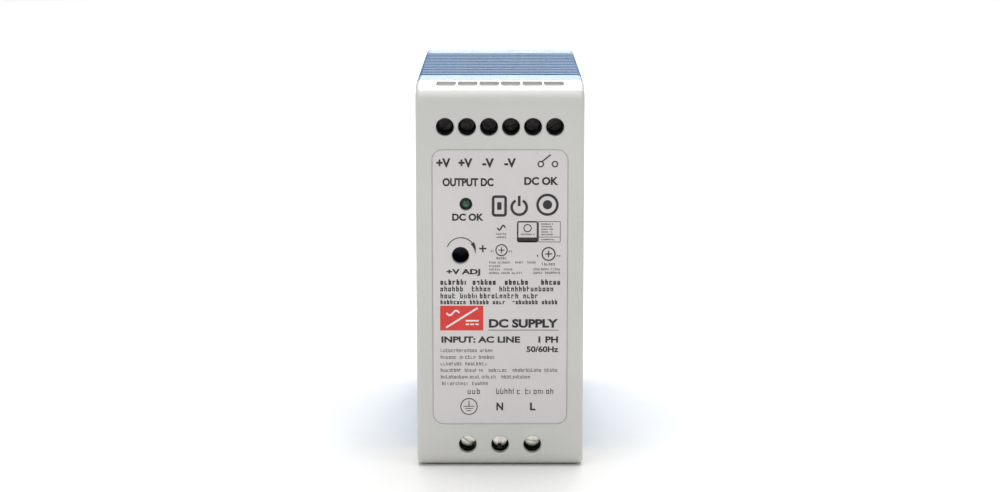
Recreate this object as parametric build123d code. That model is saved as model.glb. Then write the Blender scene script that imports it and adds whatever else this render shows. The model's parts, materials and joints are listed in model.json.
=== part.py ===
from build123d import *

# DIN rail power supply: a two-shell plastic housing with screw terminals, boards, components and a
# rail clip. Everything is drawn with x across the width, y as the depth behind the front face, and z
# up from the casing's underside. write() then moves each piece so that the origin is at the middle of
# the footprint, under the clip's tab. Sizes are in millimetres and angles in degrees.

import os
from math import atan2, degrees, hypot, radians, tan

# ---- Housing ----
width = 40.0
height = 90.0
depth = 100.0
wall = 2.0  # casing wall
cover_wall = 2.2
cover_depth = 19.0
cover_draft = 1.5  # degrees, from the parting line to the front face
joint_gap = 0.25  # shadow line between the two shells
front_edge_radius = 3.2  # top and bottom edges of the front face
side_edge_radius = 1.2  # the long edges and the front face's side edges
rear_edge_radius = 0.7
skirt_clearance = 0.12
skirt_thickness = 1.0
skirt_reach = 4.0  # how far the cover's skirt goes into the casing
snap_height = 0.7
snap_length = 6.0
snap_offset_z = 22.0
middle_z = height / 2
inner_half = width / 2 - wall
cavity_end = depth - 10.5

# ---- Vents, on the underside and the top ----
vent_start = cover_depth + 12.0
vent_end = cavity_end - 0.6
rib_count = 13
rib_thickness = 1.3
rib_height = 0.8  # how far a rib stands proud of the bars behind it
side_recess = 0.35  # the side walls lie this far inside the ribs' ends
rib_return = 4.0  # how far a rib runs round the corner on to the side wall
windows_x = [(-inner_half, -16.9), (-11.6, -1.9), (0.7, 11.8), (14.8, inner_half)]

# ---- Rail seat and rear blocks ----
rail_height = 35.0
rail_play = 0.2
rail_flange = 1.0
seat_depth = 6.5  # from the rear plane to the rail's seat
lower_block_top = 28.6
lip_drop = 2.4  # how far the hooks hang over the rail's upper flange
lip_gap = 0.4  # play between the flange and the hooks
hook_half_gap = 9.7  # the hooks start this far either side of the middle
seat_y = depth - seat_depth
seat_top = lower_block_top + rail_height + rail_play
groove_floor = seat_y - 2.3
groove_slope_z = seat_top - 3.2
ramp_top = (seat_y - 0.8, seat_top - 6.0)  # y and z where the ramp meets the groove's slope
ramp_start_inner_z = seat_top - 11.4
ramp_start_outer_z = seat_top - 13.2
pocket_floor = depth - 8.5
brace_wall = 1.45
brace_pocket_bottom = seat_top + 3.4
brace_thickness = 1.4
gate_radius = 2.8
gate_z = (lower_block_top + seat_top) / 2 - 0.6

# ---- Clip channel ----
channel_half = 8.5
channel_floor = depth - 5.4
groove_depth = 0.95
notch_half = channel_half + 1.2
notch_height = 4.0
notch_floor = depth - 4.1
scoop_radius = 4.7
foot_wall = 1.2  # outer wall and floor of the lower pockets
foot_pocket_inner = channel_half + 1.5
foot_pocket_step = channel_half + 2.85
foot_step_z = 5.9
foot_ledge_y = depth - 2.8

# ---- Clip ----
clip_travel = 2.4  # the prongs cover 2.0 mm of the rail, so this lets it go
clip_side_play = 0.6
clip_half = channel_half - clip_side_play
clip_front = notch_floor + 0.1
clip_back = depth - 1.4
flange_thickness = 1.2
flange_clearance = 0.15
flange_half = channel_half + groove_depth - 0.25
tab_half = notch_half - 0.75
tab_back = depth - 0.6
tab_drop = 1.6  # how far the tab reaches below the casing
tab_slot = (12.8, 2.3)
clip_top = lower_block_top - 1.4
prong_overlap = 2.0  # how much of the rail's lower flange the prongs cover
prong_x = (2.9, 7.0)
prong_window_x = (3.5, 6.3)
prong_window_z = (clip_top - 3.9, clip_top - 0.4)
stop_lug_height = prong_window_z[1] - prong_window_z[0] - clip_travel - 0.1
window_half = 6.45
window_top = 22.7
inner_window_half = 3.9
inner_window_z = 10.4
pivot_x, pivot_z = 5.35, 11.7  # root of each spring leg
root_radius = 1.0
root_clearance = 0.05
boss_back = clip_back - 0.4
boss_top = window_top - clip_travel - 0.1  # the clip comes down to just above it
boss_tip = (0.95, boss_top - 0.4)  # top of the flank that the legs slide down

# ---- Boards ----
board_thickness = 1.6
front_board_y = cover_depth - 1.0
front_board_half = inner_half - 1.4
main_board_x = inner_half - 5.5  # component side, which faces -x
main_board_end = cavity_end - 0.9
main_board_edge = 0.3  # gap between the board's long edges and the walls
guide_height = 2.0
guide_width = 0.55
guide_clearance = 0.1
board_tab_length = 8.0
board_tab_z = (16.0, 66.0)
lead_radius = 0.4
lead_tail = 1.3  # how far a lead stands out of the solder side
hole_clearance = 0.06
solder_radius = 0.95
solder_height = 0.9
solder_side_x = main_board_x + board_thickness
lead_end_x = solder_side_x + lead_tail
package_screw_x = main_board_x - 17.4  # the screws through the power packages' tabs
package_screw_radius = 1.45

# ---- Terminals ----
output_pitch = 5.08
output_count = 6
output_z = height - 8.9
input_pitch = 7.62
input_count = 3
input_z = 5.6
terminal_inset = wall + skirt_clearance + skirt_thickness + 0.15
access_radius = 2.1
rim_chamfer = 0.25
wire_opening = (4.0, 5.0)  # x and y
wire_opening_y = cover_depth - 8.6
lead_in = (4.6, 7.4, 0.6)  # x, y and depth of the shallow step round a wire opening
shank_radius = 1.25
head_depth = 1.6
shelf = 0.5  # the ledge under each screw's head
cage_plate = 1.0  # threaded top plate of each clamp
cage_floor = 0.8
cage_end = front_board_y - 2.4
cage_play = 0.1
bar_thickness = 0.6

# ---- Front controls ----
led_x, led_z = -7.9, height - 26.9
led_radius = 1.25
led_hole_radius = 1.45
trimmer_x, trimmer_z = -9.2, height - 39.0
trimmer_hole_radius = 2.0
trimmer_side = 6.8
trimmer_front = cover_depth - 8.0
rotor_radius = 1.75

# ---- Labels ----
label_width = 31.7
label_height = height - 24.6
label_bottom = 10.6
label_corner = 2.6
label_recess = 0.25
label_thickness = 0.17
label_margin = 0.25
serial_label = (29.0, 6.2, 0.12)
serial_label_y = cover_depth + 1.5

board_holes = []  # (y, z, radius) of every lead that goes through the main board


# ---- Helpers ----
def block(x, y, z):
    """A box between three (low, high) pairs."""
    centre = [(low + high) / 2 for low, high in (x, y, z)]
    size = [abs(high - low) for low, high in (x, y, z)]
    return Pos(*centre) * Box(*size)


def rod(axis, a, b, radius, span):
    """A round bar along an axis; a and b are its other two coordinates, in x, y, z order."""
    middle, length = (span[0] + span[1]) / 2, span[1] - span[0]
    bar = Cylinder(radius, length)
    if axis == "x":
        return Pos(middle, a, b) * Rot(0, 90, 0) * bar
    if axis == "y":
        return Pos(a, middle, b) * Rot(90, 0, 0) * bar
    return Pos(a, b, middle) * bar


def across(points, x):
    """A prism along x, from an outline of (y, z) points."""
    outline = Polyline(*[(0, y, z) for y, z in points], close=True)
    return Pos(x[0], 0, 0) * extrude(make_face(outline), x[1] - x[0], dir=(1, 0, 0))


def through(points, y):
    """A prism along y, from an outline of (x, z) points."""
    outline = Polyline(*[(px, y[0], pz) for px, pz in points], close=True)
    return extrude(make_face(outline), y[1] - y[0], dir=(0, 1, 0))


def both_sides(shape):
    """The shape and its mirror image in the middle plane."""
    return shape + mirror(shape, Plane.YZ)


def write(name, shape):
    """Moves a piece into the part's frame and writes it."""
    solids = [Pos(0, -depth / 2, tab_drop) * s for s in shape.solids()]
    export_step(solids[0] if len(solids) == 1 else Compound(children=solids), f"parts/{name}.step")


def pole_places(count, pitch):
    """The x of each pole of a terminal row, from left to right."""
    return [(i - (count - 1) / 2) * pitch for i in range(count)]


# ---- Front cover ----
def tapered_block(side, tall, start, end):
    """A block that narrows by the cover's draft from y = start forwards to y = end."""
    plane = Plane(origin=(0, start, middle_z), x_dir=(1, 0, 0), z_dir=(0, -1, 0))
    return extrude(plane * Rectangle(side, tall), start - end, taper=cover_draft)


def cover_skin():
    """The cover's outer form, with its edges rounded."""
    skin = tapered_block(width, height, cover_depth, 0)
    front = skin.faces().sort_by(Axis.Y)[0]
    long_edges = front.edges().filter_by(Axis.X)
    skin = fillet(long_edges, front_edge_radius)
    sides = skin.faces().sort_by(Axis.X)
    rim = cover_depth - 0.01
    chain = [e for f in (sides[0], sides[-1]) for e in f.edges() if e.bounding_box().min.Y < rim]
    return fillet(chain, side_edge_radius)


def cover_skirt():
    """The ring that slides into the casing, with its snaps and the stops for the front board."""
    half = inner_half - skirt_clearance
    low, high = wall + skirt_clearance, height - wall - skirt_clearance
    span = (cover_depth - 3.0, cover_depth + skirt_reach)
    ring = block((-half, half), span, (low, high))
    ring -= block(
        (-half + skirt_thickness, half - skirt_thickness),
        (span[0] - 1, span[1] + 1),
        (low + skirt_thickness, high - skirt_thickness),
    )
    for z in (middle_z - snap_offset_z, middle_z + snap_offset_z):
        barb = [
            (half - 0.1, cover_depth + 1.4),
            (half + snap_height, cover_depth + 1.4),
            (half - 0.1, cover_depth + 3.4),
        ]
        outline = Polyline(*[(px, py, z - snap_length / 2) for px, py in barb], close=True)
        ring += both_sides(extrude(make_face(outline), snap_length, dir=(0, 0, 1)))
        stop = block(
            (half - skirt_thickness - 1.0, half), (span[0], front_board_y), (z - 3, z + 3)
        )
        ring += both_sides(stop)
    return ring


def wire_cuts(count, pitch, face_z, direction):
    """The wire openings of one terminal row, with a shallow step round each. direction is +1 upwards."""
    middle_y = wire_opening_y + wire_opening[1] / 2
    cut = Part()
    for x in pole_places(count, pitch):
        cut += block(
            (x - wire_opening[0] / 2, x + wire_opening[0] / 2),
            (wire_opening_y, wire_opening_y + wire_opening[1]),
            sorted((face_z + direction, face_z - direction * 2 * cover_wall)),
        )
        cut += block(
            (x - lead_in[0] / 2, x + lead_in[0] / 2),
            (middle_y - lead_in[1] / 2, middle_y + lead_in[1] / 2),
            sorted((face_z + direction, face_z - direction * lead_in[2])),
        )
    return cut


def flared_hole(x, z, radius, y):
    """A hole through the front wall with a small chamfer where it opens at depth y."""
    flare = Pos(x, y + rim_chamfer / 2, z) * Rot(90, 0, 0) * Cone(radius, radius + rim_chamfer, rim_chamfer)
    return rod("y", x, z, radius, (-1, cover_wall + 1)) + flare


def front_cover():
    """The front shell: rounded skin, skirt, and all its openings."""
    hollow = tapered_block(
        width - 2 * cover_wall, height - 2 * cover_wall, cover_depth, cover_wall
    )
    cover = cover_skin() - hollow - block(
        (-inner_half, inner_half), (cover_depth - 0.001, cover_depth + 1), (wall, height - wall)
    )
    cover += cover_skirt()
    for x in pole_places(output_count, output_pitch):
        cover -= flared_hole(x, output_z, access_radius, 0)
    for x in pole_places(input_count, input_pitch):
        cover -= flared_hole(x, input_z, access_radius, 0)
    cover -= flared_hole(led_x, led_z, led_hole_radius, label_recess)
    cover -= flared_hole(trimmer_x, trimmer_z, trimmer_hole_radius, label_recess)
    face = cover_depth * tan(radians(cover_draft))
    slope_rise = face * (1 - (wire_opening_y + wire_opening[1] / 2) / cover_depth)
    cover -= wire_cuts(output_count, output_pitch, height - slope_rise, 1)
    cover -= wire_cuts(input_count, input_pitch, slope_rise, -1)
    plane = Plane(
        origin=(0, label_recess, label_bottom + label_height / 2), x_dir=(1, 0, 0), z_dir=(0, -1, 0)
    )
    cover -= extrude(plane * RectangleRounded(label_width, label_height, label_corner), 1)
    return cover


def rating_label():
    """The printed label in the cover's shallow recess, with holes for the lamp and the trimmer."""
    plane = Plane(
        origin=(0, label_recess, label_bottom + label_height / 2), x_dir=(1, 0, 0), z_dir=(0, -1, 0)
    )
    outline = RectangleRounded(
        label_width - 2 * label_margin, label_height - 2 * label_margin, label_corner - label_margin
    )
    label = extrude(plane * outline, label_thickness)
    label -= rod("y", led_x, led_z, led_hole_radius + label_margin / 2, (-1, 1))
    return label - rod("y", trimmer_x, trimmer_z, trimmer_hole_radius + label_margin / 2, (-1, 1))


# ---- Rear casing ----
def rib_places():
    """The y of each rib's middle, between equal gaps."""
    gap = (vent_end - vent_start - rib_count * rib_thickness) / (rib_count + 1)
    return [vent_start + gap * (i + 1) + rib_thickness * (i + 0.5) for i in range(rib_count)]


def vented_skin():
    """The casing's outer form: recessed between the ribs, which run a little way round on to the sides."""
    skin = block((-width / 2, width / 2), (cover_depth + joint_gap, depth), (0, height))
    skin = fillet(skin.edges().filter_by(Axis.Y), side_edge_radius)
    skin = fillet(skin.faces().sort_by(Axis.Y)[-1].edges(), rear_edge_radius)
    frame = block((-width, width), (vent_start, vent_end), (-1, height + 1))
    half = width / 2 - side_recess
    frame -= block((-half, half), (vent_start - 1, vent_end + 1), (rib_height, height - rib_height))
    for y in rib_places():
        span = (y - rib_thickness / 2, y + rib_thickness / 2)
        frame -= block((-width, width), span, (-2, rib_return))
        frame -= block((-width, width), span, (height - rib_return, height + 2))
    return skin - frame


def vent_slots():
    """Every opening between the ribs and the bars, on the underside and the top."""
    edges = [vent_start]
    for y in rib_places():
        edges += [y - rib_thickness / 2, y + rib_thickness / 2]
    edges.append(vent_end)
    gaps = [(edges[i], edges[i + 1]) for i in range(0, len(edges), 2)]
    slots = []
    for left, right in windows_x:
        for gap in gaps:
            slots.append(block((left, right), gap, (-1, wall + 1)))
            slots.append(block((left, right), gap, (height - wall - 1, height + 1)))
    return slots


def rail_seat():
    """The slot that takes the rail: flat in the middle, with a hooked groove and a ramp at each side."""
    lip_y = seat_y + rail_flange + lip_gap
    lip_z = seat_top - lip_drop
    cut = block((-hook_half_gap, hook_half_gap), (seat_y, depth + 1), (lower_block_top, seat_top))
    groove = [
        (depth + 1, lower_block_top),
        (seat_y, lower_block_top),
        (seat_y, ramp_top[1]),
        ramp_top,
        (groove_floor, groove_slope_z),
        (groove_floor, seat_top),
        (lip_y, seat_top),
        (lip_y, lip_z),
        (depth + 1, lip_z),
    ]
    side = across(groove, (hook_half_gap - 0.01, width / 2 + 1))
    ends = []
    for x, start_z in ((hook_half_gap - 0.01, ramp_start_inner_z), (width / 2 + 1, ramp_start_outer_z)):
        corners = [(seat_y + 0.01, start_z), ramp_top, (seat_y + 0.01, ramp_top[1])]
        ends.append(make_face(Polyline(*[(x, y, z) for y, z in corners], close=True)))
    side += loft(ends)
    return cut + both_sides(side)


def braced_pocket():
    """The hollow in the upper rear block, less its two crossed ribs."""
    half = width / 2 - brace_wall
    low, high = brace_pocket_bottom, height - brace_wall
    pocket = block((-half, half), (pocket_floor, depth + 1), (low, high))
    length = hypot(2 * half, high - low)
    tilt = degrees(atan2(high - low, 2 * half))
    for sign in (-1, 1):
        rib = Box(length + 4, depth - pocket_floor, brace_thickness)
        rib = Pos(0, (pocket_floor + depth) / 2, (low + high) / 2) * Rot(0, sign * tilt, 0) * rib
        pocket -= rib
    return pocket


def foot_pockets():
    """The two stepped hollows in the lower rear block, one each side of the clip's channel."""
    outer = width / 2 - foot_wall
    top = lower_block_top - 2.0
    deep = block((foot_pocket_step, outer), (pocket_floor, depth + 1), (foot_wall, top))
    shallow = block((foot_pocket_inner, outer), (foot_ledge_y, depth + 1), (foot_step_z, top))
    return both_sides(deep + shallow)


def clip_channel():
    """The clip's channel: grooves for its flanges, the notch for its tab, and a scoop below."""
    span = (-1, lower_block_top + 0.01)
    channel = block((-channel_half, channel_half), (channel_floor, depth + 1), span)
    groove = (clip_front - flange_clearance, clip_front + flange_thickness + flange_clearance)
    outer = channel_half + groove_depth
    channel += block((-outer, outer), groove, span)
    channel += block((-notch_half, notch_half), (notch_floor, depth + 1), (-1, notch_height))
    channel += rod("x", notch_floor, 0, scoop_radius, (-notch_half, notch_half))
    # openings behind the spring legs' tips, where the mould shuts off
    channel += both_sides(block((3.2, 6.2), (cavity_end - 1, depth), (15.0, window_top - 0.2)))
    return channel


def spring_boss():
    """The drop-shaped cam that spreads the spring legs, and the two lugs that stop the clip's travel."""
    half = [
        (0, boss_top),
        (0.75, boss_top - 0.1),
        boss_tip,
        (2.2, boss_top - 2.8),
        (2.1, boss_top - 3.5),
        (1.5, boss_top - 4.8),
        (0.7, boss_top - 6.1),
    ]
    outline = half + [(0, boss_top - 6.5)] + [(-x, z) for x, z in reversed(half[1:])]
    boss = through(outline, (channel_floor - 0.5, boss_back))
    low = prong_window_z[0] + 0.05
    lug = block(
        (prong_window_x[0] + 0.3, prong_window_x[1] - 0.3),
        (channel_floor - 0.5, clip_front + 0.7),
        (low, low + stop_lug_height),
    )
    return boss + both_sides(lug)


def board_guides():
    """The ridges that hold the main board's long edges."""
    guides = Part()
    inner = (main_board_x - guide_clearance - guide_width, main_board_x - guide_clearance)
    outer = (solder_side_x + guide_clearance, solder_side_x + guide_clearance + guide_width)
    for x in (inner, outer):
        for z in ((wall - 0.2, wall + guide_height), (height - wall - guide_height, height - wall + 0.2)):
            guides += block(x, (vent_start, cavity_end + 0.2), z)
    return guides


def rear_casing():
    """The rear shell, open at the front."""
    casing = vented_skin()
    casing -= block(
        (-inner_half, inner_half), (cover_depth - 1, cavity_end), (wall, height - wall)
    )
    casing -= vent_slots()
    casing += board_guides()
    casing -= rail_seat()
    casing -= braced_pocket()
    casing -= foot_pockets()
    casing -= clip_channel()
    casing += spring_boss()
    # a round gate mark with its broken-off stub
    casing -= rod("y", 0, gate_z, gate_radius, (seat_y - 0.25, seat_y + 1))
    casing += rod("y", 0, gate_z, gate_radius / 2, (seat_y - 0.5, seat_y + 0.1))
    half = inner_half - skirt_clearance
    for z in (middle_z - snap_offset_z, middle_z + snap_offset_z):
        casing -= both_sides(
            block(
                (half, half + snap_height + 0.3),
                (cover_depth + 1.3, cover_depth + 3.6),
                (z - snap_length / 2 - 0.2, z + snap_length / 2 + 0.2),
            )
        )
    return casing


# ---- Rail clip ----
def clip_outline():
    """The clip's flat outline: narrow body, wide tab and a curved foot."""
    shoulder = notch_height - 0.1
    body = through(
        [
            (-clip_half, shoulder - 0.5),
            (-clip_half, clip_top),
            (clip_half, clip_top),
            (clip_half, shoulder - 0.5),
        ],
        (clip_front, clip_back),
    )
    y = notch_floor + 0.15
    foot = -tab_drop + 1.45
    edges = [
        Line((-tab_half, y, foot), (-tab_half, y, shoulder)),
        Line((-tab_half, y, shoulder), (tab_half, y, shoulder)),
        Line((tab_half, y, shoulder), (tab_half, y, foot)),
        ThreePointArc((tab_half, y, foot), (0, y, -tab_drop), (-tab_half, y, foot)),
    ]
    tab = extrude(make_face(edges), tab_back - y, dir=(0, 1, 0))
    return body + tab


def rail_clip():
    """The sliding clip without its spring legs: prongs, side flanges, windows and a screwdriver slot."""
    clip = clip_outline()
    low, inner = notch_height + 0.2, clip_half - 0.1
    flange = through(
        [(inner, low), (flange_half, low), (flange_half, clip_top - 0.2), (inner, clip_top + 1.1)],
        (clip_front, clip_front + flange_thickness),
    )
    clip += both_sides(flange)
    prong_front = seat_y + rail_flange + 0.3
    tip = lower_block_top + prong_overlap
    prong = across(
        [
            (prong_front, clip_top - 0.9),
            (prong_front, tip),
            (prong_front + 1.0, tip),
            (clip_back, tip - 1.4),
            (clip_back, clip_top - 0.9),
        ],
        prong_x,
    )
    clip += both_sides(prong)
    span = (clip_front - 2, clip_back + 2)
    clip -= both_sides(block(prong_window_x, span, prong_window_z))
    clip -= block((-window_half, window_half), span, (pivot_z, window_top))
    clip -= block((-inner_window_half, inner_window_half), span, (inner_window_z, pivot_z + 1))
    clip -= both_sides(rod("y", pivot_x, pivot_z, root_radius + root_clearance, span))
    clip -= block(
        (-tab_slot[0] / 2, tab_slot[0] / 2), (notch_floor - 1, tab_back + 1), (1.0, 1.0 + tab_slot[1])
    )
    return clip


def clip_leg(side):
    """One curved spring leg, from its round root to the tip by the boss. side is -1 or +1."""
    outline = [
        (pivot_x + 0.7, pivot_z + 0.7),
        (5.6, 15.3),
        (4.9, 16.8),
        (3.95, 18.5),
        (3.05, 20.1),
        (3.35, 21.1),
        (2.7, 21.9),
        (boss_tip[0] + 0.08, boss_tip[1] + 0.5),
        (boss_tip[0] + 0.03, boss_tip[1] + 0.15),
        (1.8, 18.9),
        (2.75, 17.6),
        (3.5, 15.9),
        (4.1, 14.2),
        (pivot_x - 0.98, pivot_z + 0.2),
    ]
    span = (clip_front + 0.2, clip_back)
    leg = through([(side * x, z) for x, z in outline], span)
    return leg + rod("y", side * pivot_x, pivot_z, root_radius, span)


# ---- Terminals ----
class Row:
    """One row of rising-clamp screw terminals. direction is the way the wires leave, +1 up or -1 down."""

    def __init__(self, count, pitch, z, direction, head_y, head_radius, face_z):
        self.places = pole_places(count, pitch)
        self.pitch, self.z, self.direction = pitch, z, direction
        self.head_y, self.head_radius = head_y, head_radius
        self.shelf_y = head_y + head_depth
        self.window_end = cage_end - cage_floor
        # closed, the cage's top plate is just under the shelf and its floor is just under the bar
        closed_top = self.shelf_y + shelf + cage_play
        closed_floor = closed_top + cage_plate + 2 * cage_play + bar_thickness
        self.travel = (self.window_end - closed_floor) / 2
        self.cage_top = closed_top + self.travel
        self.bar_y = self.cage_top + cage_plate + cage_play
        self.cage_half = min(pitch / 2 - 0.59, 2.6)
        self.face = abs(face_z - z)

    def across_z(self, low, high):
        """A z span, given as distances from the screws towards the wires' side."""
        return tuple(sorted((self.z + self.direction * low, self.z + self.direction * high)))

    def body(self):
        """The insulating housing, with a chamber for each clamp, open towards the board."""
        half = len(self.places) * self.pitch / 2 + 0.3
        front = self.head_y - 0.3
        body = block((-half, half), (front, front_board_y), self.across_z(-4.1, self.face))
        side = self.cage_half + 0.12
        for x in self.places:
            body -= rod("y", x, self.z, self.head_radius + 0.1, (front - 1, self.shelf_y))
            body -= rod("y", x, self.z, shank_radius + 0.1, (front, self.shelf_y + shelf + 1))
            chamber = (self.shelf_y + shelf, front_board_y + 1)
            body -= block((x - side, x + side), chamber, self.across_z(-3.5, 2.3))
            mouth = (wire_opening_y + 0.3, wire_opening_y + wire_opening[1] - 0.3)
            body -= block((x - 1.9, x + 1.9), mouth, self.across_z(2.2, self.face + 1))
        return body

    def screw(self, x, slot_angle):
        """A captive slotted screw. slot_angle turns its slot away from level, seen from the front."""
        screw = rod("y", x, self.z, self.head_radius, (self.head_y, self.shelf_y))
        screw = chamfer(screw.faces().sort_by(Axis.Y)[0].edges(), 0.25)
        screw += rod("y", x, self.z, shank_radius, (self.shelf_y - 0.1, self.bar_y - 0.1))
        slot = Box(2 * self.head_radius + 1, 2 * 0.8, 0.9)
        return screw - Pos(x, self.head_y, self.z) * Rot(0, -slot_angle, 0) * slot

    def clamp(self, x):
        """The square cage that the screw lifts: a threaded top plate round an open window."""
        half = self.cage_half
        cage = block((x - half, x + half), (self.cage_top, cage_end), self.across_z(-2.1, 2.1))
        window = (self.cage_top + cage_plate, self.window_end)
        cage -= block((x - half + 0.6, x + half - 0.6), window, self.across_z(-3, 3))
        return cage - rod("y", x, self.z, shank_radius + 0.05, (self.cage_top - 1, window[0] + 0.1))

    def contacts(self):
        """The fixed current bars, each with a tail that goes down through the front board."""
        made = Part()
        for x in self.places:
            half = self.cage_half - 0.75
            bar = (self.bar_y, self.bar_y + bar_thickness)
            made += block((x - half, x + half), bar, self.across_z(-3.3, 2.2))
            tail = (self.bar_y, front_board_y + board_thickness + 1.2)
            made += block((x - 0.6, x + 0.6), tail, self.across_z(-3.3, -2.7))
        return made


output_row = Row(output_count, output_pitch, output_z, 1, 6.0, 1.85, height - terminal_inset)
input_row = Row(input_count, input_pitch, input_z, -1, 4.8, 1.9, terminal_inset)
output_slots = [42, 88, -50, 12, -62, 30]
input_slots = [-36, 86, -8]


# ---- Front board and its parts ----
def front_board():
    """The board behind the terminals, slotted for the main board's tabs and drilled for every tail."""
    edge = wall + skirt_clearance + skirt_thickness + 0.2
    span = (front_board_y, front_board_y + board_thickness)
    board = block((-front_board_half, front_board_half), span, (edge, height - edge))
    for row in (output_row, input_row):
        for x in row.places:
            board -= block((x - 0.7, x + 0.7), (span[0] - 1, span[1] + 1), row.across_z(-3.4, -2.6))
    for z in board_tab_z:
        board -= block(
            (main_board_x - 0.1, solder_side_x + 0.1),
            (span[0] - 1, span[1] + 1),
            (z - 0.1, z + board_tab_length + 0.1),
        )
    for x, z in lamp_legs() + trimmer_legs():
        board -= rod("y", x, z, 0.25 + hole_clearance, (span[0] - 1, span[1] + 1))
    return board


def lamp_legs():
    """The x and z of the lamp's two legs."""
    return [(led_x - 0.6, led_z), (led_x + 0.6, led_z)]


def trimmer_legs():
    """The x and z of the trimmer's three legs."""
    return [(trimmer_x + x, trimmer_z + z) for x, z in ((-2.5, -2.5), (2.5, -2.5), (0, 2.5))]


def status_lamp():
    """A small domed lamp on two long legs."""
    lamp = rod("y", led_x, led_z, led_radius, (0.2 + led_radius, 4.6))
    lamp += Pos(led_x, 0.2 + led_radius, led_z) * Sphere(led_radius)
    lamp += rod("y", led_x, led_z, led_radius + 0.35, (3.7, 4.6))
    for x, z in lamp_legs():
        lamp += rod("y", x, z, 0.25, (4.5, front_board_y + board_thickness + 1))
    return lamp


def lamp_spacer():
    """The tube that holds the lamp off the front board."""
    tube = rod("y", led_x, led_z, 1.6, (4.6, front_board_y))
    return tube - rod("y", led_x, led_z, 1.15, (4, front_board_y + 1))


def trimmer_body():
    """The trimmer's square case with a round well for its rotor."""
    half = trimmer_side / 2
    body = block(
        (trimmer_x - half, trimmer_x + half),
        (trimmer_front, front_board_y),
        (trimmer_z - half, trimmer_z + half),
    )
    body -= rod("y", trimmer_x, trimmer_z, rotor_radius + 0.05, (trimmer_front - 1, trimmer_front + 2))
    for x, z in trimmer_legs():
        body += rod("y", x, z, 0.25, (front_board_y - 0.5, front_board_y + board_thickness + 1))
    return body


def trimmer_rotor():
    """The turning disc with its screwdriver slot."""
    rotor = rod("y", trimmer_x, trimmer_z, rotor_radius, (trimmer_front - 2.2, trimmer_front + 1.95))
    slot = Box(2 * rotor_radius - 0.5, 1.6, 0.6)
    return rotor - Pos(trimmer_x, trimmer_front - 2.2, trimmer_z) * Rot(0, 40, 0) * slot


# ---- Main board and its components ----
def leads(places, reach=0.6):
    """Wires from a component through the main board, noted so that the board is drilled for them."""
    board_holes.extend(places)
    made = Part()
    for y, z in places:
        made += rod("x", y, z, lead_radius, (main_board_x - reach, lead_end_x))
    return made


def can_capacitor(y, z, radius, length, spacing):
    """A round capacitor standing on the board along -x, with a crimped groove near its base."""
    base = main_board_x - 0.2
    can = rod("x", y, z, radius, (base - length, base))
    can = fillet(can.edges(), 0.6)
    ring = rod("x", y, z, radius + 1, (base - 3.2, base - 2.2)) - rod(
        "x", y, z, radius - 0.5, (base - 4, base - 1)
    )
    return can - ring + leads([(y - spacing / 2, z), (y + spacing / 2, z)])


def box_part(y, z, size, lead_places):
    """A moulded box on the board: size is its height along -x, then its y and z."""
    base = main_board_x - 0.1
    box = block(
        (base - size[0], base),
        (y - size[1] / 2, y + size[1] / 2),
        (z - size[2] / 2, z + size[2] / 2),
    )
    box = fillet(box.edges().filter_by(Axis.X), 0.5)
    return box + leads([(y + dy, z + dz) for dy, dz in lead_places])


def disc_part(y, z, radius, thickness):
    """A dipped disc on two long leads, its flat side along the board's depth."""
    middle = main_board_x - radius - 1.6
    disc = rod("y", middle, z, radius, (y - thickness / 2, y + thickness / 2))
    disc = fillet(disc.edges(), thickness * 0.4)
    return disc + leads([(y, z - radius / 2), (y, z + radius / 2)], reach=radius + 1.6)


def choke_core(y, z, outer, inner, thick):
    """A ring core standing clear of the board, its axis along y."""
    middle = main_board_x - outer - 2.0
    ring = rod("y", middle, z, outer, (y - thick / 2, y + thick / 2))
    return ring - rod("y", middle, z, inner, (y - thick, y + thick))


def choke_turns(y, z, outer, inner, thick, wire=0.55, turns=7):
    """Two windings of round turns on a ring core, one on each half, with a lead at each end."""
    middle_x = main_board_x - outer - 2.0
    gap = wire + 0.08
    made = Part()
    for start in (-62, 118):
        for i in range(turns):
            angle = start + i * 124 / (turns - 1)
            width_r, width_y = outer - inner + 2 * gap, thick + 2 * gap
            frame = Plane(origin=((outer + inner) / 2, 0, 0), x_dir=(1, 0, 0), z_dir=(0, 0, 1))
            path = (frame * RectangleRounded(width_r, width_y, 0.8)).wire()
            profile = Plane(origin=path @ 0, z_dir=path % 0) * Circle(wire)
            turn = sweep(profile, path=path)
            made += Pos(middle_x, y, z) * Rot(0, angle, 0) * turn
    ends = [(y - thick / 2 - gap, z - 4), (y + thick / 2 + gap, z - 4)]
    ends += [(y - thick / 2 - gap, z + 4), (y + thick / 2 + gap, z + 4)]
    return made + leads(ends, reach=1.6)


def transformer_core(y, z):
    """Two E-shaped ferrite halves, back to back along x."""
    mid = main_board_x - 14.0
    tall, wide, thick = 22.0, 26.0, 8.0
    halves = Part()
    for sign in (-1, 1):
        half = block(
            sorted((mid, mid + sign * tall / 2)),
            (y - thick / 2, y + thick / 2),
            (z - wide / 2, z + wide / 2),
        )
        for low, high in ((3.7, 9.5), (-9.5, -3.7)):
            gap = sorted((mid - sign, mid + sign * (tall / 2 - 3.6)))
            half -= block(gap, (y - thick, y + thick), (z + low, z + high))
        halves += half
    return halves


def ring_block(x, y_half, z_half, hole_y, hole_z, y, z, corner):
    """A rounded sleeve along x round a rectangular hole."""
    plane = Plane(origin=(x[0], y, z), x_dir=(0, 1, 0), z_dir=(1, 0, 0))
    outer = extrude(plane * RectangleRounded(2 * y_half, 2 * z_half, corner), x[1] - x[0])
    return outer - block((x[0] - 1, x[1] + 1), (y - hole_y, y + hole_y), (z - hole_z, z + hole_z))


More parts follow.
